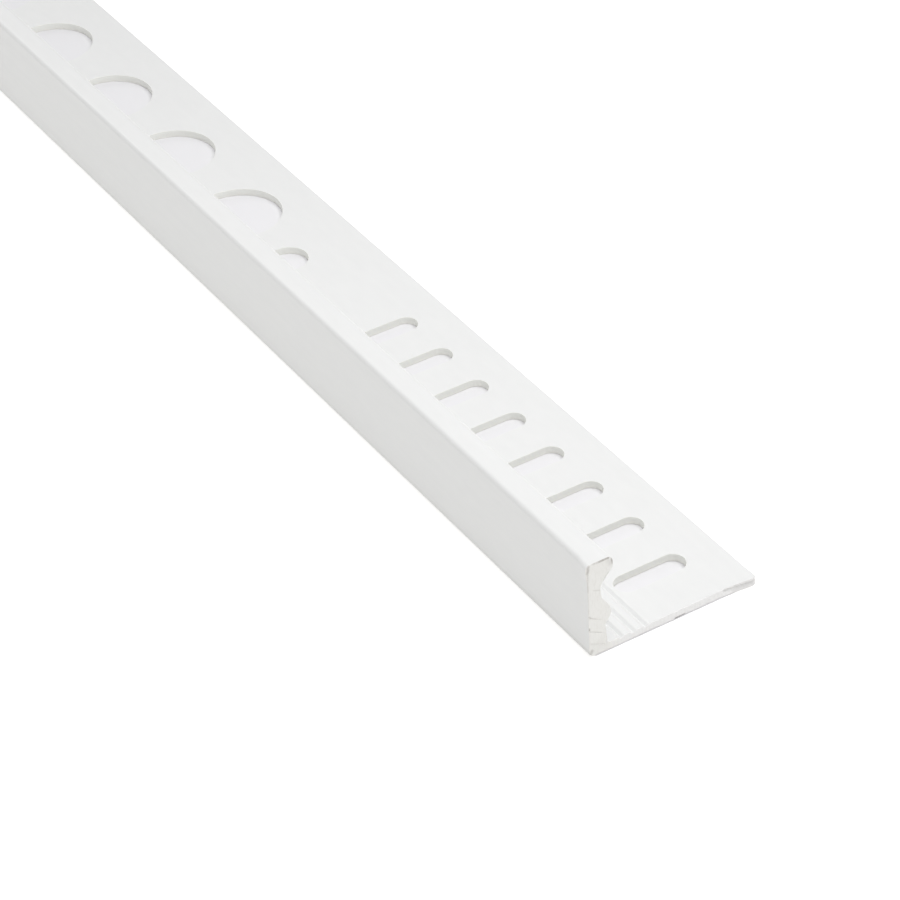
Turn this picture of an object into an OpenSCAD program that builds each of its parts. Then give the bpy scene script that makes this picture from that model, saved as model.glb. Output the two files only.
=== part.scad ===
// Straight-edge tile trim: one extruded length with an L-shaped section and a punched anchoring leg.
// The leg lies flat on Z = 0, the visible face stands at -Y, and the stock runs along X.

/* [Stock] */
// Length of the stock
trim_length = 1830; // [500:10:3000]
// Height of the visible face, which is the tile thickness that the trim suits
face_height = 12.5; // [11:0.5:20]
// Radius of the two long corners of the visible face
corner_radius = 0.6; // [0.2:0.1:0.8]

/* [Anchoring leg] */
// Width of the leg, measured from the visible face
leg_width = 21.6; // [20:0.2:30]
// Thickness of the leg
leg_thickness = 1; // [0.8:0.1:1.3]
// Radius along the leg's free edge
edge_radius = 0.35; // [0.1:0.05:0.35]

/* [Face wall] */
// Thickness of the wall just under the lip
wall_neck = 1.55; // [1.4:0.05:1.8]
// Thickness of the wall where it meets the leg
wall_foot = 2.3; // [2:0.1:2.6]
// Radius of the inside corners at the wall's foot and beside the rib
fillet_radius = 0.35; // [0.2:0.05:0.5]

/* [Lip] */
// Width of the lip that covers the tile's edge
lip_width = 3.2; // [2.9:0.1:4]
// Height of the lip at its nose, before the nose is rounded
lip_nose = 1.6; // [1.3:0.1:2]
// Height from the top of the lip down to where its underside meets the wall
lip_depth = 3.5; // [3:0.1:3.6]
// Radius of the cove where the lip's underside meets the wall
root_radius = 1.1; // [0.6:0.1:1.1]
// Radius of the lip's nose
nose_radius = 0.8; // [0.4:0.1:0.9]

/* [Spacer rib] */
// Distance of the rib's crest from the visible face, before the crest is rounded
rib_reach = 3.2; // [2.9:0.1:3.4]
// Height of the rib's crest above the middle of the wall's inner face
rib_offset = 0.2; // [-0.4:0.1:0.4]
// Height of the sloping flank above the crest
rib_upper_run = 2.3; // [1.8:0.1:2.4]
// Height of the sloping flank below the crest
rib_lower_run = 1.6; // [1.2:0.1:2.2]
// Radius of the rib's crest
rib_radius = 1.6; // [0.8:0.1:1.6]

/* [Keying grooves] */
// Number of grooves along the leg
groove_count = 3; // [0:1:3]
// Distance of the first groove from the visible face
groove_start = 4; // [3.7:0.1:4.4]
// Distance between grooves
groove_pitch = 1.55; // [1.2:0.05:1.8]
// Width of a groove
groove_width = 0.8; // [0.6:0.05:0.9]
// Depth of a groove, before its bottom is rounded
groove_depth = 0.3; // [0.1:0.05:0.4]
// Radius of a groove's edges and of its bottom
groove_radius = 0.15; // [0.05:0.05:0.2]

/* [Punching] */
// Distance of the first keying slot from the end of the stock
slot_start = 7; // [6:0.5:20]
// Number of keying slots in a row
slot_count = 8; // [2:1:12]
// Distance between keying slots
slot_pitch = 8; // [6:0.5:12]
// Width of a keying slot
slot_width = 3; // [1.5:0.1:4]
// Length of a keying slot, across the leg
slot_length = 9; // [5:0.5:10]
// Distance of the slots from the last groove
slot_clearance = 0.5; // [0.3:0.05:1]
// Distance between a row of slots and the pin hole beside it
slot_gap = 21; // [12:0.5:40]
// Distance of the round holes' centres from the visible face
hole_line = 11; // [10:0.1:14]
// Diameter of a pin hole
pin_hole_d = 5.2; // [3:0.1:6]
// Distance between a pin hole and the adhesive hole beside it
pin_gap = 13; // [10:0.5:30]
// Number of adhesive holes in a row
key_hole_count = 8; // [2:1:12]
// Diameter of an adhesive hole
key_hole_d = 11.5; // [8:0.1:12]
// Distance between adhesive holes
key_hole_pitch = 18; // [15:0.5:30]
// Least distance from a punched opening to the far end of the stock
end_margin = 4; // [2:0.5:10]

/* [Hidden] */
$fn = 32;
// Largest turn between two points of a rounded corner of the section, in degrees
arc_step = 18;
// How far the punch runs past both faces of the leg
overrun = 1;

// Section points are [distance from the visible face, height above the base]
foot = [wall_foot, leg_thickness];
lip_root = [wall_neck, face_height - lip_depth];
rib_crest = [rib_reach, (foot[1] + lip_root[1]) / 2 + rib_offset];
rib_top = on_wall(rib_crest[1] + rib_upper_run);
rib_bottom = on_wall(rib_crest[1] - rib_lower_run);

// The punch repeats in strokes: a row of slots, a pin hole, a row of adhesive holes and a pin hole
slot_row = (slot_count - 1) * slot_pitch;
key_row = (key_hole_count - 1) * key_hole_pitch;
stroke = slot_row + key_row + 2 * slot_gap + 2 * pin_gap;
stroke_count = ceil(trim_length / stroke);
slot_offsets = [for (number = [0 : slot_count - 1]) number * slot_pitch];
pin_offsets = [slot_row + slot_gap, stroke - slot_gap];
key_offsets = [for (number = [0 : key_hole_count - 1]) pin_offsets[0] + pin_gap + number * key_hole_pitch];

// The slots start beyond the last groove
groove_end = groove_start + (groove_count - 1) * groove_pitch + groove_width / 2;
slot_line = groove_end + slot_clearance + slot_length / 2;

// Point of the wall's tapered inner face at a height
function on_wall(height) = foot + (lip_root - foot) * (height - foot[1]) / (lip_root[1] - foot[1]);

function unit(vector) = vector / norm(vector);

function turned(vector, angle) = [
    vector[0] * cos(angle) - vector[1] * sin(angle),
    vector[0] * sin(angle) + vector[1] * cos(angle)
];

// Arc that rounds a corner, outside or inside, between its straight sides
function corner_arc(before, corner, after, radius) =
    let (
        back = unit(before - corner),
        ahead = unit(after - corner),
        half_angle = acos(back * ahead) / 2,
        centre = corner + unit(back + ahead) * radius / sin(half_angle),
        spoke = corner + back * radius / tan(half_angle) - centre,
        turn = -sign(cross(back, ahead)) * (180 - 2 * half_angle),
        steps = ceil(abs(turn) / arc_step)
    )
    [for (step = [0 : steps]) centre + turned(spoke, turn * step / steps)];

// Outline with each [corner, radius] rounded
function rounded(corners) =
    let (count = len(corners))
    [
        for (number = [0 : count - 1])
            let (
                before = corners[(number + count - 1) % count][0],
                after = corners[(number + 1) % count][0]
            )
            each corner_arc(before, corners[number][0], after, corners[number][1])
    ];

// Corners of one V-shaped groove, from the free edge towards the wall
function groove_corners(place) = [
    [[place + groove_width / 2, leg_thickness], groove_radius],
    [[place, leg_thickness - groove_depth], groove_radius],
    [[place - groove_width / 2, leg_thickness], groove_radius]
];

// Distances from the near end at which a punched shape lies on the stock
function punched(offsets, half_width) = [
    for (number = [0 : stroke_count - 1], offset = offsets)
        let (place = slot_start + number * stroke + offset)
        if (place + half_width + end_margin <= trim_length) place
];

module section() {
    polygon(rounded([
        [[0, 0], corner_radius],
        [[leg_width, 0], edge_radius],
        [[leg_width, leg_thickness], edge_radius],
        for (number = [groove_count - 1 : -1 : 0]) each groove_corners(groove_start + number * groove_pitch),
        [foot, fillet_radius],
        [rib_bottom, fillet_radius],
        [rib_crest, rib_radius],
        [rib_top, fillet_radius],
        [lip_root, root_radius],
        [[lip_width, face_height - lip_nose], nose_radius],
        [[lip_width, face_height], nose_radius],
        [[0, face_height], corner_radius]
    ]));
}

module keying_slot() {
    straight = slot_length - slot_width;
    square([slot_width, straight], center = true);
    for (side = [-1, 1])
        translate([0, side * straight / 2]) circle(d = slot_width);
}

// Outlines of the punched openings: distance from the near end along X, from the visible face along Y
module punching() {
    for (place = punched(slot_offsets, slot_width / 2))
        translate([place, slot_line]) keying_slot();
    for (place = punched(pin_offsets, pin_hole_d / 2))
        translate([place, hole_line]) circle(d = pin_hole_d);
    for (place = punched(key_offsets, key_hole_d / 2))
        translate([place, hole_line]) circle(d = key_hole_d);
}

module tile_trim() {
    color([0.95, 0.95, 0.94])
    translate([0, -leg_width / 2, 0])
    difference() {
        translate([-trim_length / 2, 0, 0]) rotate([90, 0, 90]) linear_extrude(trim_length) section();
        translate([trim_length / 2, 0, -overrun])
        mirror([1, 0, 0])
        linear_extrude(leg_thickness + 2 * overrun) punching();
    }
}

tile_trim();
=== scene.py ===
"""Looks of a straight-edge tile trim: white PVC with sheared ends and a punched leg, on a pale floor."""

import math

import bmesh
import bpy
from mathutils import Matrix, Quaternion, Vector, noise
from mathutils.geometry import delaunay_2d_cdt, intersect_point_line


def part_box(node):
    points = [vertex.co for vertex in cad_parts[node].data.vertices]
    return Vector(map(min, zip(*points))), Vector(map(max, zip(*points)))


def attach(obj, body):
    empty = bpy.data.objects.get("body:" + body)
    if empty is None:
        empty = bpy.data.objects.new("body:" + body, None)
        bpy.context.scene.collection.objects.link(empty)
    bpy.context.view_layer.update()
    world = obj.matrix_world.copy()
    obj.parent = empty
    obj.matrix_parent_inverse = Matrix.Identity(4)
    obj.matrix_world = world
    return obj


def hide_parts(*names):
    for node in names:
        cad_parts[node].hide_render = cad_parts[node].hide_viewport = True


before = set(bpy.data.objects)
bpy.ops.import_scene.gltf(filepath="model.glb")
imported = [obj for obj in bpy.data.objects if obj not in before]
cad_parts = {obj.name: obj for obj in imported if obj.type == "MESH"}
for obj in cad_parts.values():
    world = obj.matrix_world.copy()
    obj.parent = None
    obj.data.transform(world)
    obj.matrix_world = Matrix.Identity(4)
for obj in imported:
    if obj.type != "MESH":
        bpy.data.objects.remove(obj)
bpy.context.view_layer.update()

MM = 0.001

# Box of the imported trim: its near end is at the highest X and its visible face at the lowest Y
LOW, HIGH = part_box("tile_trim")
LENGTH = HIGH.x - LOW.x
LEG_WIDTH = HIGH.y - LOW.y
FACE_HEIGHT = HIGH.z - LOW.z

# Section of the stock, and the largest turn between two points of a rounded corner
CORNER_RADIUS = 0.6 * MM
LEG_THICKNESS = 1 * MM
EDGE_RADIUS = 0.35 * MM
WALL_NECK = 1.55 * MM
WALL_FOOT = 2.3 * MM
FILLET_RADIUS = 0.35 * MM
LIP_WIDTH = 3.2 * MM
LIP_NOSE = 1.6 * MM
LIP_DEPTH = 3.5 * MM
ROOT_RADIUS = 1.1 * MM
NOSE_RADIUS = 0.8 * MM
RIB_REACH = 3.2 * MM
RIB_OFFSET = 0.2 * MM
RIB_UPPER_RUN = 2.3 * MM
RIB_LOWER_RUN = 1.6 * MM
RIB_RADIUS = 1.6 * MM
GROOVE_COUNT = 3
GROOVE_START = 4 * MM
GROOVE_PITCH = 1.55 * MM
GROOVE_WIDTH = 0.8 * MM
GROOVE_DEPTH = 0.3 * MM
GROOVE_RADIUS = 0.15 * MM
ARC_STEP = math.radians(10)

# Punching of the leg, measured from the near end and from the visible face
SLOT_START = 7 * MM
SLOT_COUNT = 8
SLOT_PITCH = 8 * MM
SLOT_WIDTH = 3 * MM
SLOT_LENGTH = 9 * MM
SLOT_CLEARANCE = 0.5 * MM
SLOT_GAP = 21 * MM
HOLE_LINE = 11 * MM
PIN_HOLE_RADIUS = 2.6 * MM
PIN_GAP = 13 * MM
KEY_HOLE_COUNT = 8
KEY_HOLE_RADIUS = 5.75 * MM
KEY_HOLE_PITCH = 18 * MM
END_MARGIN = 4 * MM
PUNCH_OVERRUN = 0.5 * MM

# Edges that the punch leaves: rolled over where it goes in, broken away where it comes out
ROLLOVER = 0.07 * MM
ROLLOVER_STEPS = 3
ROLLOVER_MOUTH = ROLLOVER * 1.4
BREAKOUT = 0.05 * MM
BREAKOUT_HEIGHT = 0.3 * MM
BREAKOUT_BEND = BREAKOUT / 3
BREAKOUT_BEND_HEIGHT = BREAKOUT_HEIGHT / 3
SURFACE_CLEARANCE = 0.02 * MM
ARC_POINTS_PER_RADIAN = 9

# Mesh of the stock: spacing of its points round the section, over a cut end, behind it and along the stock
OUTLINE_SPACING = 0.2 * MM
CUT_SPACING = 0.14 * MM
END_STATIONS = [depth * MM for depth in (0, 0.06, 0.2, 0.5, 1.1, 2)]
BAY = 24 * MM
WELD_DISTANCE = 1e-9
TRIANGLES_INSIDE = 1
SHARP_ANGLE = math.radians(30)

# Relief of the sheared ends, and the rounding of the leg's outer corner as seen from above
EDGE_WEAR = 0.04 * MM
WAVE_DEPTH = 0.1 * MM
WAVE_SIZE = 2.2 * MM
GRAIN_DEPTH = 0.035 * MM
GRAIN_SIZE = 0.35 * MM
PLAN_RADIUS = 0.8 * MM
CRACK_HALF_WIDTH = 0.09 * MM
NEAR_SEED = 3
FAR_SEED = 11

# Cracks in the near end's wall: from and to a section point, and depth, in mm
CRACKS = [
    ((0, 5.45), (1.65, 4.52), 0.06),
    ((0, 3.6), (1.9, 2.6), 0.055),
    ((0.2, 1.82), (1.85, 1.06), 0.045),
    ((0.62, 8.9), (1.85, 8.4), 0.05),
]

# Chips out of the near end's leg: from and to a section point, reach around that line and depth, in mm
CHIPS = [
    ((17.4, 0.75), (21.6, 0.6), 0.4, 0.2),
    ((11, -0.03), (12.2, -0.03), 0.22, 0.08),
]

# Places of the near end that the shear pushed out: section point and reach in mm, and push along X, Y and Z
PUSHES = [
    ((0, 11.8), 2.6, Vector((0, -0.22, 0)) * MM),
    ((21.6, 0.5), 5, Vector((0.38, 0.08, 0)) * MM),
]

# Soil and painted shade on the near end, along its burred edges, in its cracks and chip and along its foot:
# from and to a section point, reach in mm, and strength
SOIL_AND_SHADE_MARKS = [
    ((0.7, 12.42), (1.4, 12.4), 0.17, 0.4),
    ((1.4, 12.4), (2.7, 12.4), 0.19, 0.75),
    ((3.05, 12.1), (3.2, 11.5), 0.3, 0.65),
    ((2.6, 12.1), (2.9, 11.6), 0.55, 0.15),
    ((2.6, 10.5), (2.05, 9.7), 0.14, 0.25),
    ((0.15, 12.3), (0.02, 11.5), 0.28, 0.55),
    ((0.02, 11.5), (0, 9), 0.2, 0.28),
    ((0, 9), (0, 6), 0.15, 0.14),
    ((0, 5.6), (0.22, 5.35), 0.18, 0.28),
    ((0.3, 5.28), (1, 4.9), 0.14, 0.16),
    ((0, 3.9), (0.06, 3.75), 0.2, 0.55),
    ((0.1, 3.55), (1.5, 2.82), 0.13, 0.16),
    ((0.3, 1.78), (1.7, 1.12), 0.14, 0.15),
    ((0.28, 0.75), (0.14, 0.5), 0.4, 0.4),
    ((11, 0.03), (12.2, 0.03), 0.24, 0.55),
    ((0.75, 8.85), (1.6, 8.5), 0.12, 0.16),
    ((0.6, 1.2), (1.9, 1.2), 1.5, 0.05),
    ((17.6, 0.75), (19.6, 0.7), 0.35, 0.16),
    ((18.8, 0.45), (21.6, 0.45), 0.8, 0.14),
    ((18.2, 0), (21.3, 0), 0.18, 0.2),
    ((18.6, 0.97), (21.3, 0.97), 0.2, 0.22),
]

# Painted shade along the foot of the visible face, where a contact shadow would fall: its strength, more
# towards the near end, and where it fades out
PAINTED_FOOT_SHADE = 0.09
PAINTED_FOOT_SHADE_AT_END = 0.2
PAINTED_FOOT_SHADE_RUN = 25 * MM
PAINTED_FOOT_SHADE_HEIGHT = 1.1 * MM
PAINTED_FOOT_SHADE_FULL_HEIGHT = PAINTED_FOOT_SHADE_HEIGHT / 3
PAINTED_FOOT_SHADE_WIDTH = 1 * MM
PAINTED_FOOT_SHADE_FULL_WIDTH = PAINTED_FOOT_SHADE_WIDTH / 2

# What the materials share: the plastic's gloss, the colour of soil and painted shade, and the range that
# most of a noise lies in
IOR = 1.53
SOIL_AND_SHADE_COLOUR = (0.12, 0.09, 0.065, 1)
NOISE_LOW, NOISE_HIGH = 0.3, 0.7

# Skin of the stock, with its mottle, its lines along the stock and its grain
SKIN_COLOURS = (0.765, 0.768, 0.765, 1), (0.8, 0.802, 0.797, 1)
SKIN_ROUGHNESS = 0.38, 0.52
MOTTLE_SIZE = 1.2 * MM
MOTTLE_STRETCH = (3, 1, 1)
MOTTLE_DETAIL = 3
LINE_SIZE = 0.35 * MM
LINE_STRETCH = (600, 1, 1)
LINE_DEPTH = 0.004 * MM
SKIN_GRAIN_SIZE = 0.12 * MM
SKIN_GRAIN_DEPTH = 0.002 * MM

# Sheared ends, with their torn streaks, blotches, and patches that hold more soil and painted shade or less
CUT_WALL_COLOURS = (0.838, 0.828, 0.8, 1), (0.884, 0.877, 0.854, 1)
CUT_LEG_COLOURS = (0.85, 0.845, 0.845, 1), (0.89, 0.885, 0.88, 1)
CUT_ROUGHNESS = 0.7
STREAK_COLOUR = (0.68, 0.665, 0.63, 1)
STREAK_SIZE = 0.12 * MM
STREAK_STRETCH = (1, 1, 6)
STREAK_DETAIL = 3
STREAK_DEPTH = 0.012 * MM
STREAK_FROM, STREAK_TO = 0.5, 0.8
STREAK_SHARE = 0.35
BLOTCH_SIZE = 0.9 * MM
PATCH_SIZE = 0.3 * MM
PATCH_DETAIL = 3
PATCH_SOIL_AND_SHADE = 0.55, 1.1

# Walls of the punched openings, smooth above and torn below, with their upright streaks; the lower band is
# painted paler, as painted light against the shade near the floor
PUNCHED_UPPER_COLOURS = (0.835, 0.838, 0.8, 1), (0.885, 0.888, 0.853, 1)
PUNCHED_LOWER_PAINTED_LIGHT_COLOURS = (0.858, 0.856, 0.81, 1), (0.905, 0.903, 0.86, 1)
PUNCHED_ROUGHNESS = 0.6
PUNCHED_TORN_BELOW = BREAKOUT_HEIGHT * 0.6
PUNCHED_SMOOTH_ABOVE = BREAKOUT_HEIGHT * 1.6
PUNCHED_STREAK_SIZE = 0.1 * MM
PUNCHED_STREAK_STRETCH = (1, 1, 20)
PUNCHED_STREAK_DEPTH = 0.01 * MM

# Floor, lit from below, and a sheet of painted shade under the trim, without the glow, that reaches just
# past its ends
FLOOR_SIZE = 30
FLOOR_CORNER = 3
FLOOR_DROP = 0.02 * MM
FLOOR_COLOURS = (0.393, 0.39, 0.393, 1), (0.407, 0.404, 0.407, 1)
FLOOR_CLOUD = 60 * MM
FLOOR_ROUGHNESS = 0.9
FLOOR_GLOW = 0.738
FLOOR_GLOW_COLOUR = (1, 1, 0.975, 1)
PAINTED_SHADE_COLOURS = (0.777, 0.772, 0.79, 1), (0.797, 0.792, 0.81, 1)
PAINTED_SHADE_INSET = 0.25 * MM
PAINTED_SHADE_REACH = 0.05 * MM
PAINTED_SHADE_CORNER = 0.5 * MM

# Light, in metres and watts: the long softbox starts at its setback from the near end
WHITE = (1, 1, 1, 1)
SURROUNDINGS = 0.523
OVERHEAD_HEIGHT = 0.45
OVERHEAD_SETBACK = 0.45
OVERHEAD_OVERHANG = 0.2
OVERHEAD_WIDTH = 0.4
OVERHEAD_POWER = 3
NEAR_PLACE = Vector((0.02, 0.05, 0.3))
NEAR_SIZE = 0.2
NEAR_POWER = 0.601

# Camera, from the near end's lower corner at the visible face, with its lens and sensor in mm
CAMERA_FROM_CORNER = Vector((212.84, -136.71, 219.55)) * MM
AIM_FROM_CORNER = Vector((-39.6, 7.21, 0)) * MM
CAMERA_ROLL = math.radians(-3.72)
LENS = 126.62
SENSOR = 36

# Places of the three materials on the trim's mesh
SKIN, CUT, PUNCHED = range(3)

# Sockets of a mix of colours, which share their names with its sockets for other kinds of values
MIX_SHARE, MIX_FIRST, MIX_SECOND, MIX_RESULT = 0, 6, 7, 2


def on_wall(height):
    """Point of the wall's tapered inner face at a height."""
    foot = Vector((WALL_FOOT, LEG_THICKNESS))
    root = Vector((WALL_NECK, FACE_HEIGHT - LIP_DEPTH))
    return foot.lerp(root, (height - foot.y) / (root.y - foot.y))


def corner_arc(before, corner, after, radius):
    """Points of the arc that rounds a corner between its straight sides."""
    back = (before - corner).normalized()
    ahead = (after - corner).normalized()
    half_angle = back.angle(ahead) / 2
    centre = corner + (back + ahead).normalized() * radius / math.sin(half_angle)
    spoke = corner + back * radius / math.tan(half_angle) - centre
    turn = -math.copysign(math.pi - 2 * half_angle, back.cross(ahead))
    steps = math.ceil(abs(turn) / ARC_STEP)
    return [centre + Matrix.Rotation(turn * step / steps, 2) @ spoke for step in range(steps + 1)]


def section_corners():
    """Corners of the section with their radii: distance from the visible face, height above the base."""
    rib_height = (LEG_THICKNESS + FACE_HEIGHT - LIP_DEPTH) / 2 + RIB_OFFSET
    corners = [
        ((0, 0), CORNER_RADIUS),
        ((LEG_WIDTH, 0), EDGE_RADIUS),
        ((LEG_WIDTH, LEG_THICKNESS), EDGE_RADIUS),
    ]
    for number in reversed(range(GROOVE_COUNT)):
        place = GROOVE_START + number * GROOVE_PITCH
        corners += [
            ((place + GROOVE_WIDTH / 2, LEG_THICKNESS), GROOVE_RADIUS),
            ((place, LEG_THICKNESS - GROOVE_DEPTH), GROOVE_RADIUS),
            ((place - GROOVE_WIDTH / 2, LEG_THICKNESS), GROOVE_RADIUS),
        ]
    corners += [
        (on_wall(LEG_THICKNESS), FILLET_RADIUS),
        (on_wall(rib_height - RIB_LOWER_RUN), FILLET_RADIUS),
        ((RIB_REACH, rib_height), RIB_RADIUS),
        (on_wall(rib_height + RIB_UPPER_RUN), FILLET_RADIUS),
        (on_wall(FACE_HEIGHT - LIP_DEPTH), ROOT_RADIUS),
        ((LIP_WIDTH, FACE_HEIGHT - LIP_NOSE), NOSE_RADIUS),
        ((LIP_WIDTH, FACE_HEIGHT), NOSE_RADIUS),
        ((0, FACE_HEIGHT), CORNER_RADIUS),
    ]
    return [(Vector(corner), radius) for corner, radius in corners]


def section_outline():
    """Outline of the section with its corners rounded."""
    corners = section_corners()
    outline = []
    for number, (corner, radius) in enumerate(corners):
        before = corners[number - 1][0]
        after = corners[(number + 1) % len(corners)][0]
        outline += corner_arc(before, corner, after, radius)
    return outline


def refined(outline, spacing):
    """The outline with its long sides divided, and the places in it of the outline's own points."""
    points = []
    own = []
    for number, start in enumerate(outline):
        end = outline[(number + 1) % len(outline)]
        steps = max(1, round((end - start).length / spacing))
        own.append(len(points))
        points += [start.lerp(end, step / steps) for step in range(steps)]
    return points, own


def pulled_in(points, distance):
    """An outline moved inwards along its normals."""
    moved = []
    for number, point in enumerate(points):
        along = (points[(number + 1) % len(points)] - points[number - 1]).normalized()
        moved.append(point + Vector((-along.y, along.x)) * distance)
    return moved


def inside(point, outline):
    """Whether a point lies in an outline, by the sides that a line from it crosses."""
    crossings = 0
    for start, end in zip(outline, outline[1:] + outline[:1]):
        if (start.y > point.y) != (end.y > point.y):
            crossings += point.x < start.x + (end.x - start.x) * (point.y - start.y) / (end.y - start.y)
    return crossings % 2 == 1


def from_line(point, start, end):
    """Distance of a section point from a line given in mm."""
    start, end = Vector(start) * MM, Vector(end) * MM
    share = intersect_point_line(point, start, end)[1]
    return (point - start.lerp(end, min(1, max(0, share)))).length


def bump(distance, reach):
    """Smooth hill: 1 on its line and 0 beyond its reach."""
    share = max(0, 1 - distance / reach)
    return share * share * (3 - 2 * share)


def shear_relief(point, seed):
    """How far a sheared end lies behind its foremost plane at a section point."""
    place = Vector((point.x, point.y, 0))
    wave = WAVE_DEPTH * (1 + noise.noise(place / WAVE_SIZE + Vector((0, 0, seed)))) / 2
    grain = GRAIN_DEPTH * (1 + noise.noise(place / GRAIN_SIZE + Vector((0, 0, seed)))) / 2
    into_corner = min(PLAN_RADIUS, max(0, point.x - LEG_WIDTH + PLAN_RADIUS))
    rounding = PLAN_RADIUS - math.sqrt(PLAN_RADIUS**2 - into_corner**2)
    return wave + grain + rounding


def near_relief(point):
    """Relief of the near end, with its cracks and chips."""
    relief = shear_relief(point, NEAR_SEED)
    for start, end, depth in CRACKS:
        relief += depth * MM * max(0, 1 - from_line(point, start, end) / CRACK_HALF_WIDTH)
    for start, end, reach, depth in CHIPS:
        relief += depth * MM * bump(from_line(point, start, end), reach * MM)
    return relief


def far_relief(point):
    """Relief of the far end."""
    return shear_relief(point, FAR_SEED)


def near_push(point):
    """How far the shear has pushed a section point of the near end out of its place."""
    push = Vector((0, 0, 0))
    for centre, reach, way in PUSHES:
        push += way * bump((point - Vector(centre) * MM).length, reach * MM)
    return push


def no_push(point):
    """The far end is cut cleanly, so none of its points is pushed out of its place."""
    return Vector((0, 0, 0))


def crack_points():
    """Section points along the cracks: their bottoms and both banks."""
    points = []
    for start, end, _ in CRACKS:
        start, end = Vector(start) * MM, Vector(end) * MM
        across = Vector((start.y - end.y, end.x - start.x)).normalized() * CRACK_HALF_WIDTH
        steps = round((end - start).length / CUT_SPACING)
        for step in range(steps + 1):
            middle = start.lerp(end, step / steps)
            points += [middle - across, middle, middle + across]
    return points


def cut_grid(border):
    """Section points spread over a sheared end, clear of its border."""
    rows = math.ceil(FACE_HEIGHT / CUT_SPACING)
    columns = math.ceil(LEG_WIDTH / CUT_SPACING)
    points = crack_points()
    for row in range(rows):
        for column in range(columns):
            points.append(Vector((column + row % 2 / 2, row)) * CUT_SPACING)
    clear = pulled_in(border, CUT_SPACING / 2)
    return [point for point in points if inside(point, clear)]


def stock_point(point, x):
    """Place of a section point at a place along the stock."""
    return Vector((x, LOW.y + point.x, LOW.z + point.y))


def sheared_end(mesh, points, end, inwards, relief, push):
    """Adds an end of the stock, its cut face and the first rings behind it, and returns the last ring."""
    border = pulled_in(points, EDGE_WEAR)
    reach = END_STATIONS[-1]
    rings = []
    for depth in END_STATIONS:
        ring = []
        share = 1 - depth / reach
        for point in points if depth else border:
            back = depth + relief(point) * share
            ring.append(mesh.verts.new(stock_point(point, end + inwards * back) + push(point) * share))
        rings.append(ring)
    for ring, behind in zip(rings, rings[1:]):
        for number in range(len(points)):
            face = mesh.faces.new((ring[number - 1], ring[number], behind[number], behind[number - 1]))
            face.material_index = CUT if ring is rings[0] else SKIN

    grid = cut_grid(border)
    places = border + grid
    loop = list(range(len(border)))
    _, _, faces, _, _, _ = delaunay_2d_cdt(places, [], [loop], TRIANGLES_INSIDE, WELD_DISTANCE)
    verts = list(rings[0])
    for point in grid:
        verts.append(mesh.verts.new(stock_point(point, end + inwards * relief(point)) + push(point)))
    for face in faces:
        mesh.faces.new([verts[number] for number in face]).material_index = CUT
    return rings[-1]


def swept_stock():
    """Mesh of the whole stock before it is punched."""
    outline = section_outline()
    points, own = refined(outline, OUTLINE_SPACING)
    mesh = bmesh.new()
    near = sheared_end(mesh, points, HIGH.x, -1, near_relief, near_push)
    far = sheared_end(mesh, points, LOW.x, 1, far_relief, no_push)
    run = LENGTH - 2 * END_STATIONS[-1]
    bays = round(run / BAY)
    rings = []
    for number in range(1, bays):
        x = HIGH.x - END_STATIONS[-1] - run * number / bays
        rings.append([mesh.verts.new(stock_point(point, x)) for point in outline])
    for ring, behind in zip(rings, rings[1:]):
        for number in range(len(outline)):
            mesh.faces.new((ring[number - 1], ring[number], behind[number], behind[number - 1]))
    for ring, fine in ((rings[0], near), (rings[-1], far)):
        for number, start in enumerate(own):
            stop = own[number + 1] if number + 1 < len(own) else len(points)
            side = [fine[place % len(points)] for place in range(start, stop + 1)]
            mesh.faces.new([ring[number], *side, ring[(number + 1) % len(ring)]])
    bmesh.ops.recalc_face_normals(mesh, faces=mesh.faces)
    return mesh


def obround(radius, straight):
    """Outline of a slot across the leg, or of a round hole where there is no straight stretch."""
    steps = math.ceil(math.pi * ARC_POINTS_PER_RADIAN * math.sqrt(radius / PIN_HOLE_RADIUS))
    points = []
    for side in (0, 1):
        centre = Vector((0, straight / 2 - straight * side))
        stop = steps + 1 if straight else steps
        for step in range(stop):
            angle = math.pi * (side + step / steps)
            points.append((centre, Vector((math.cos(angle), math.sin(angle)))))
    return points


def punch_profile():
    """Heights of the punched wall and how far the opening is wider there."""
    profile = [
        (LEG_THICKNESS + PUNCH_OVERRUN, ROLLOVER_MOUTH),
        (LEG_THICKNESS + SURFACE_CLEARANCE, ROLLOVER_MOUTH),
    ]
    for step in range(1, ROLLOVER_STEPS + 1):
        angle = math.pi / 2 * step / ROLLOVER_STEPS
        profile.append((LEG_THICKNESS - ROLLOVER * (1 - math.cos(angle)), ROLLOVER * (1 - math.sin(angle))))
    return profile + [
        (BREAKOUT_HEIGHT, 0),
        (BREAKOUT_BEND_HEIGHT, BREAKOUT_BEND),
        (-SURFACE_CLEARANCE, BREAKOUT),
        (-PUNCH_OVERRUN, BREAKOUT),
    ]


def add_punch(mesh, place, line, radius, straight):
    """Adds the solid that one stroke of the punch takes out of the leg."""
    rings = []
    outline = obround(radius, straight)
    for height, wider in punch_profile():
        ring = []
        for centre, spoke in outline:
            point = centre + spoke * (radius + wider)
            ring.append(mesh.verts.new((HIGH.x - place + point.x, LOW.y + line + point.y, LOW.z + height)))
        rings.append(ring)
    for ring, below in zip(rings, rings[1:]):
        for number in range(len(outline)):
            mesh.faces.new((ring[number - 1], ring[number], below[number], below[number - 1]))
    mesh.faces.new(rings[0])
    mesh.faces.new(rings[-1])


def punched_places(offsets, half_width):
    """Distances from the near end at which an opening lies on the stock."""
    slot_row = (SLOT_COUNT - 1) * SLOT_PITCH
    key_row = (KEY_HOLE_COUNT - 1) * KEY_HOLE_PITCH
    stroke = slot_row + key_row + 2 * SLOT_GAP + 2 * PIN_GAP
    places = []
    for number in range(math.ceil(LENGTH / stroke)):
        places += [SLOT_START + number * stroke + offset for offset in offsets]
    return [place for place in places if place + half_width + END_MARGIN <= LENGTH + SURFACE_CLEARANCE]


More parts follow.
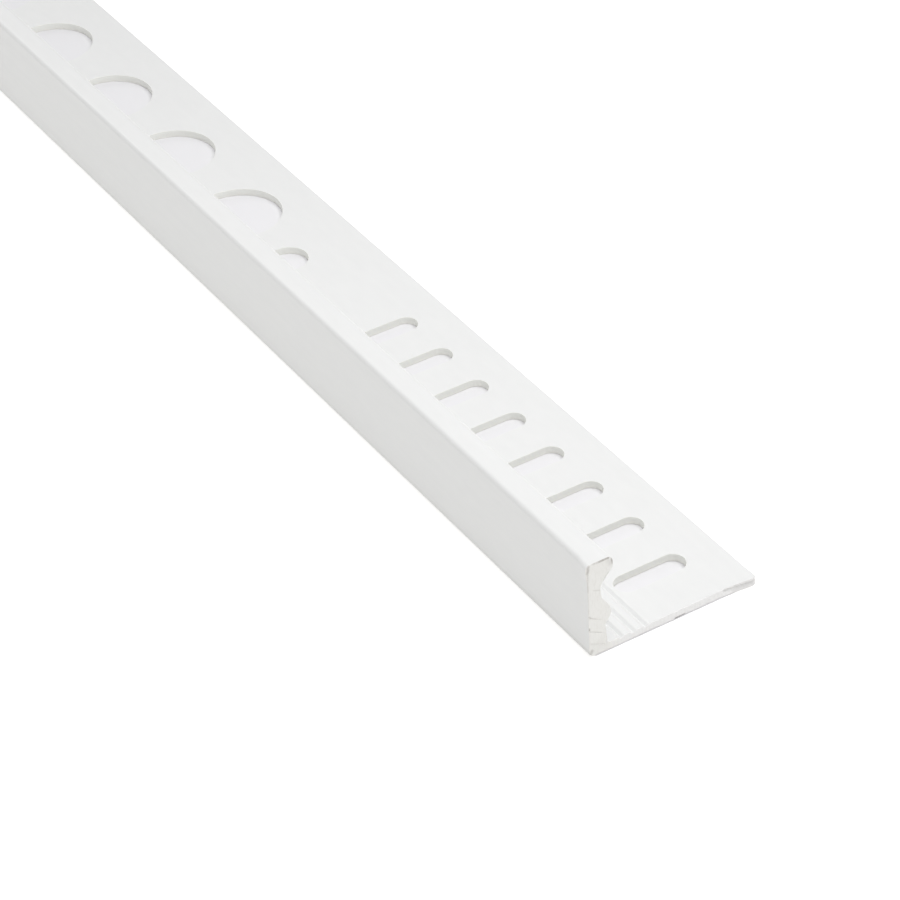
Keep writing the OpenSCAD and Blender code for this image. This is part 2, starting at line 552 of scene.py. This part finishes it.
def punches():
    """Mesh of everything that is punched out of the leg."""
    slot_offsets = [number * SLOT_PITCH for number in range(SLOT_COUNT)]
    first_pin = slot_offsets[-1] + SLOT_GAP
    key_offsets = [first_pin + PIN_GAP + number * KEY_HOLE_PITCH for number in range(KEY_HOLE_COUNT)]
    pin_offsets = [first_pin, key_offsets[-1] + PIN_GAP]
    groove_end = GROOVE_START + (GROOVE_COUNT - 1) * GROOVE_PITCH + GROOVE_WIDTH / 2
    slot_line = groove_end + SLOT_CLEARANCE + SLOT_LENGTH / 2
    mesh = bmesh.new()
    for place in punched_places(slot_offsets, SLOT_WIDTH / 2):
        add_punch(mesh, place, slot_line, SLOT_WIDTH / 2, SLOT_LENGTH - SLOT_WIDTH)
    for place in punched_places(pin_offsets, PIN_HOLE_RADIUS):
        add_punch(mesh, place, HOLE_LINE, PIN_HOLE_RADIUS, 0)
    for place in punched_places(key_offsets, KEY_HOLE_RADIUS):
        add_punch(mesh, place, HOLE_LINE, KEY_HOLE_RADIUS, 0)
    for face in mesh.faces:
        face.material_index = PUNCHED
    bmesh.ops.recalc_face_normals(mesh, faces=mesh.faces)
    return mesh


def new_object(name, mesh, materials):
    """Object made from a bmesh, in the scene."""
    data = bpy.data.meshes.new(name)
    mesh.to_mesh(data)
    mesh.free()
    for material in materials:
        data.materials.append(material)
    made = bpy.data.objects.new(name, data)
    bpy.context.scene.collection.objects.link(made)
    return made


def add_node(tree, kind, inputs=None, **settings):
    """Adds a node, sets its properties, and sets or links its inputs."""
    made = tree.nodes.new(kind)
    for name, value in settings.items():
        setattr(made, name, value)
    for name, value in (inputs or {}).items():
        if isinstance(value, bpy.types.NodeSocket):
            tree.links.new(value, made.inputs[name])
        else:
            made.inputs[name].default_value = value
    return made


def new_material(name, roughness):
    """Material with a plastic shader, its node tree, and the object's own coordinates in metres."""
    made = bpy.data.materials.new(name)
    made.use_nodes = True
    tree = made.node_tree
    shader = tree.nodes["Principled BSDF"]
    shader.inputs["Roughness"].default_value = roughness
    shader.inputs["IOR"].default_value = IOR
    place = add_node(tree, "ShaderNodeTexCoord").outputs["Object"]
    return made, tree, shader, place


def noise_node(tree, place, size, stretch=(1, 1, 1), detail=2):
    """Noise of a grain size in metres, longer along an axis by its stretch."""
    scale = [1 / (size * longer) for longer in stretch]
    mapped = add_node(tree, "ShaderNodeMapping", {"Vector": place, "Scale": scale})
    inputs = {"Vector": mapped.outputs["Vector"], "Scale": 1, "Detail": detail}
    return add_node(tree, "ShaderNodeTexNoise", inputs).outputs["Fac"]


def product(tree, first, second):
    """Product of two values."""
    return add_node(tree, "ShaderNodeMath", {0: first, 1: second}, operation="MULTIPLY").outputs["Value"]


def mixed_colour(tree, share, first, second):
    """Colour between two, by a share; each may be a colour or another node's colour."""
    inputs = {MIX_SHARE: share, MIX_FIRST: first, MIX_SECOND: second}
    return add_node(tree, "ShaderNodeMix", inputs, data_type="RGBA").outputs[MIX_RESULT]


def ranged(tree, value, low, high, to_low, to_high):
    """A value mapped from one range to another."""
    inputs = {"Value": value, "From Min": low, "From Max": high, "To Min": to_low, "To Max": to_high}
    return add_node(tree, "ShaderNodeMapRange", inputs).outputs["Result"]


def bumped(tree, shader, layers):
    """Gives the shader a relief of several layers, each a height and its depth in metres."""
    normal = None
    for height, depth in layers:
        inputs = {"Height": height, "Distance": depth, "Strength": 1}
        if normal:
            inputs["Normal"] = normal
        normal = add_node(tree, "ShaderNodeBump", inputs).outputs["Normal"]
    tree.links.new(normal, shader.inputs["Normal"])


def painted_foot_shade(tree, place):
    """Share of painted shade along the foot of the visible face."""
    parts = add_node(tree, "ShaderNodeSeparateXYZ", {"Vector": place}).outputs
    low = ranged(tree, parts["Z"], LOW.z + PAINTED_FOOT_SHADE_HEIGHT, LOW.z + PAINTED_FOOT_SHADE_FULL_HEIGHT, 0, 1)
    outer = ranged(tree, parts["Y"], LOW.y + PAINTED_FOOT_SHADE_WIDTH, LOW.y + PAINTED_FOOT_SHADE_FULL_WIDTH, 0, 1)
    strength = ranged(tree, parts["X"], HIGH.x - PAINTED_FOOT_SHADE_RUN, HIGH.x, PAINTED_FOOT_SHADE, PAINTED_FOOT_SHADE_AT_END)
    return product(tree, product(tree, low, outer), strength)


def skin_material():
    """Extruded white PVC: satin, with faint lines along the stock, a fine mottle, and painted shade along
    the foot of the visible face.
    """
    made, tree, shader, place = new_material("white_pvc_skin", sum(SKIN_ROUGHNESS) / 2)
    mottle = noise_node(tree, place, MOTTLE_SIZE, MOTTLE_STRETCH, MOTTLE_DETAIL)
    lines = noise_node(tree, place, LINE_SIZE, LINE_STRETCH)
    grain = noise_node(tree, place, SKIN_GRAIN_SIZE)
    unshaded = mixed_colour(tree, mottle, *SKIN_COLOURS)
    # Painted shade: the foot of the visible face is darkened towards the dark colour, in place of a contact
    # shadow
    colour = mixed_colour(tree, painted_foot_shade(tree, place), unshaded, SOIL_AND_SHADE_COLOUR)
    tree.links.new(colour, shader.inputs["Base Color"])
    tree.links.new(ranged(tree, lines, NOISE_LOW, NOISE_HIGH, *SKIN_ROUGHNESS), shader.inputs["Roughness"])
    bumped(tree, shader, [(lines, LINE_DEPTH), (grain, SKIN_GRAIN_DEPTH)])
    return made


def cut_material():
    """Sheared PVC: matt, warmer than the skin, torn in fine streaks, with soil and painted shade in its
    edges and cracks.
    """
    made, tree, shader, place = new_material("white_pvc_cut", CUT_ROUGHNESS)
    streaks = noise_node(tree, place, STREAK_SIZE, STREAK_STRETCH, STREAK_DETAIL)
    blotches = noise_node(tree, place, BLOTCH_SIZE)
    patches = noise_node(tree, place, PATCH_SIZE, detail=PATCH_DETAIL)
    across = add_node(tree, "ShaderNodeSeparateXYZ", {"Vector": place}).outputs["Y"]
    on_leg = ranged(tree, across, LOW.y + WALL_FOOT, LOW.y + 2 * WALL_FOOT, 0, 1)
    wall = mixed_colour(tree, blotches, *CUT_WALL_COLOURS)
    leg = mixed_colour(tree, blotches, *CUT_LEG_COLOURS)
    pale = mixed_colour(tree, on_leg, wall, leg)
    torn_share = ranged(tree, streaks, STREAK_FROM, STREAK_TO, 0, STREAK_SHARE)
    torn = mixed_colour(tree, torn_share, pale, STREAK_COLOUR)
    # Soil and painted shade: the near end's edges, cracks, chip and foot are darkened partly for dirt and
    # partly in place of shadow
    marks = add_node(tree, "ShaderNodeAttribute", attribute_name="soil_and_shade").outputs["Fac"]
    soil_and_shade = product(tree, marks, ranged(tree, patches, NOISE_LOW, NOISE_HIGH, *PATCH_SOIL_AND_SHADE))
    colour = mixed_colour(tree, soil_and_shade, torn, SOIL_AND_SHADE_COLOUR)
    tree.links.new(colour, shader.inputs["Base Color"])
    bumped(tree, shader, [(streaks, STREAK_DEPTH)])
    return made


def punched_material():
    """Wall of a punched opening: sheared smooth above and torn below, and painted paler below as painted
    light against the shade near the floor.
    """
    made, tree, shader, place = new_material("white_pvc_punched", PUNCHED_ROUGHNESS)
    height = add_node(tree, "ShaderNodeSeparateXYZ", {"Vector": place}).outputs["Z"]
    # Painted light: the wall is painted paler towards its foot, where shade falls
    torn = ranged(tree, height, PUNCHED_TORN_BELOW, PUNCHED_SMOOTH_ABOVE, 1, 0)
    streaks = noise_node(tree, place, PUNCHED_STREAK_SIZE, PUNCHED_STREAK_STRETCH)
    upper = mixed_colour(tree, streaks, *PUNCHED_UPPER_COLOURS)
    lower = mixed_colour(tree, streaks, *PUNCHED_LOWER_PAINTED_LIGHT_COLOURS)
    tree.links.new(mixed_colour(tree, torn, upper, lower), shader.inputs["Base Color"])
    bumped(tree, shader, [(streaks, PUNCHED_STREAK_DEPTH)])
    return made


def floor_material(name, colours, glow):
    """Pale matt floor, between two colours in soft clouds, that may be lit from below."""
    made, tree, shader, place = new_material(name, FLOOR_ROUGHNESS)
    cloud = noise_node(tree, place, FLOOR_CLOUD)
    tree.links.new(mixed_colour(tree, cloud, *colours), shader.inputs["Base Color"])
    shader.inputs["Emission Color"].default_value = FLOOR_GLOW_COLOUR
    shader.inputs["Emission Strength"].default_value = glow
    return made


def punched_trim():
    """The trim: the stock with its leg punched, shaded smooth between its sharp edges."""
    materials = [skin_material(), cut_material(), punched_material()]
    trim = new_object("trim_extrusion", swept_stock(), materials)
    punch = new_object("punch", punches(), materials)
    cutting = trim.modifiers.new("punching", "BOOLEAN")
    cutting.object = punch
    cutting.operation = "DIFFERENCE"
    cutting.solver = "MANIFOLD"
    depsgraph = bpy.context.evaluated_depsgraph_get()
    punched = bpy.data.meshes.new_from_object(trim.evaluated_get(depsgraph))
    trim.modifiers.clear()
    trim.data = punched
    bpy.data.objects.remove(punch)
    punched.shade_smooth()
    punched.set_sharp_from_angle(angle=SHARP_ANGLE)
    weighting = trim.modifiers.new("flat faces", "WEIGHTED_NORMAL")
    weighting.keep_sharp = True
    soil_and_shade_near_end(punched)
    return trim


def soil_and_shade_at(point):
    """Most soil and painted shade that any mark leaves at a section point of the near end."""
    strengths = []
    for start, end, reach, strength in SOIL_AND_SHADE_MARKS:
        strengths.append(strength * bump(from_line(point, start, end), reach * MM))
    return max(strengths)


def soil_and_shade_near_end(data):
    """Stores how much soil and painted shade lies on each point of the near end."""
    soil_and_shade = data.attributes.new("soil_and_shade", "FLOAT", "POINT")
    for vertex in data.vertices:
        if HIGH.x - vertex.co.x < END_STATIONS[-1]:
            point = Vector((vertex.co.y - LOW.y, vertex.co.z - LOW.z))
            soil_and_shade.data[vertex.index].value = soil_and_shade_at(point)


def flat_sheet(name, width, length, corner, height, material):
    """Level rectangle with its corners cut off, which belongs to the stage, centred under the trim."""
    x, y = length / 2, width / 2
    right = [(x - corner, -y), (x, corner - y), (x, y - corner), (x - corner, y)]
    left = [(-along, -across) for along, across in right]
    mesh = bmesh.new()
    mesh.faces.new([mesh.verts.new((*point, 0)) for point in right + left])
    sheet = new_object(name, mesh, [material])
    sheet.location = ((LOW.x + HIGH.x) / 2, (LOW.y + HIGH.y) / 2, height)


def pale_floor():
    """Plain floor, and a sheet of painted shade under the trim, which shows in the openings and as a dark
    line along the edges.
    """
    white = floor_material("pale_floor", FLOOR_COLOURS, FLOOR_GLOW)
    shade = floor_material("painted_shade_floor", PAINTED_SHADE_COLOURS, 0)
    flat_sheet("floor", FLOOR_SIZE, FLOOR_SIZE, FLOOR_CORNER, LOW.z - FLOOR_DROP, white)
    width = LEG_WIDTH - 2 * PAINTED_SHADE_INSET
    length = LENGTH + 2 * PAINTED_SHADE_REACH
    # Painted shade: a darker sheet without the floor's glow, laid under the trim
    flat_sheet("painted_shade_under_trim", width, length, PAINTED_SHADE_CORNER, LOW.z - FLOOR_DROP / 2, shade)


def softbox(name, place, aim, length, width, power):
    """Area light that is long in X before it is turned to its aim."""
    data = bpy.data.lights.new(name, "AREA")
    data.shape = "RECTANGLE"
    data.size = length
    data.size_y = width
    data.energy = power
    light = bpy.data.objects.new(name, data)
    light.location = place
    light.rotation_mode = "QUATERNION"
    light.rotation_quaternion = (aim - place).to_track_quat("-Z", "Y")
    light.visible_camera = False
    bpy.context.scene.collection.objects.link(light)


def studio():
    """Even white surroundings, a small softbox over the near end, and a long one over the rest."""
    world = bpy.data.worlds.new("studio")
    world.use_nodes = True
    surroundings = world.node_tree.nodes["Background"]
    surroundings.inputs["Color"].default_value = WHITE
    surroundings.inputs["Strength"].default_value = SURROUNDINGS
    bpy.context.scene.world = world
    near = Vector((HIGH.x, (LOW.y + HIGH.y) / 2, LOW.z))
    length = LENGTH - OVERHEAD_SETBACK + OVERHEAD_OVERHANG
    under = near - Vector((OVERHEAD_SETBACK + length / 2, 0, 0))
    above = under + Vector((0, 0, OVERHEAD_HEIGHT))
    softbox("overhead", above, under, length, OVERHEAD_WIDTH, OVERHEAD_POWER)
    softbox("near_end", near + NEAR_PLACE, near, NEAR_SIZE, NEAR_SIZE, NEAR_POWER)
    bpy.context.scene.view_settings.view_transform = "Standard"


def camera():
    """Camera at the photograph's viewing angle."""
    corner = Vector((HIGH.x, LOW.y, LOW.z))
    data = bpy.data.cameras.new("camera")
    data.lens = LENS
    data.sensor_width = SENSOR
    made = bpy.data.objects.new("camera", data)
    made.location = corner + CAMERA_FROM_CORNER
    sight = AIM_FROM_CORNER - CAMERA_FROM_CORNER
    made.rotation_mode = "QUATERNION"
    made.rotation_quaternion = sight.to_track_quat("-Z", "Y") @ Quaternion((0, 0, 1), CAMERA_ROLL)
    bpy.context.scene.collection.objects.link(made)
    bpy.context.scene.camera = made


camera()
studio()
pale_floor()
trim = punched_trim()
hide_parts("tile_trim")
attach(trim, "root")
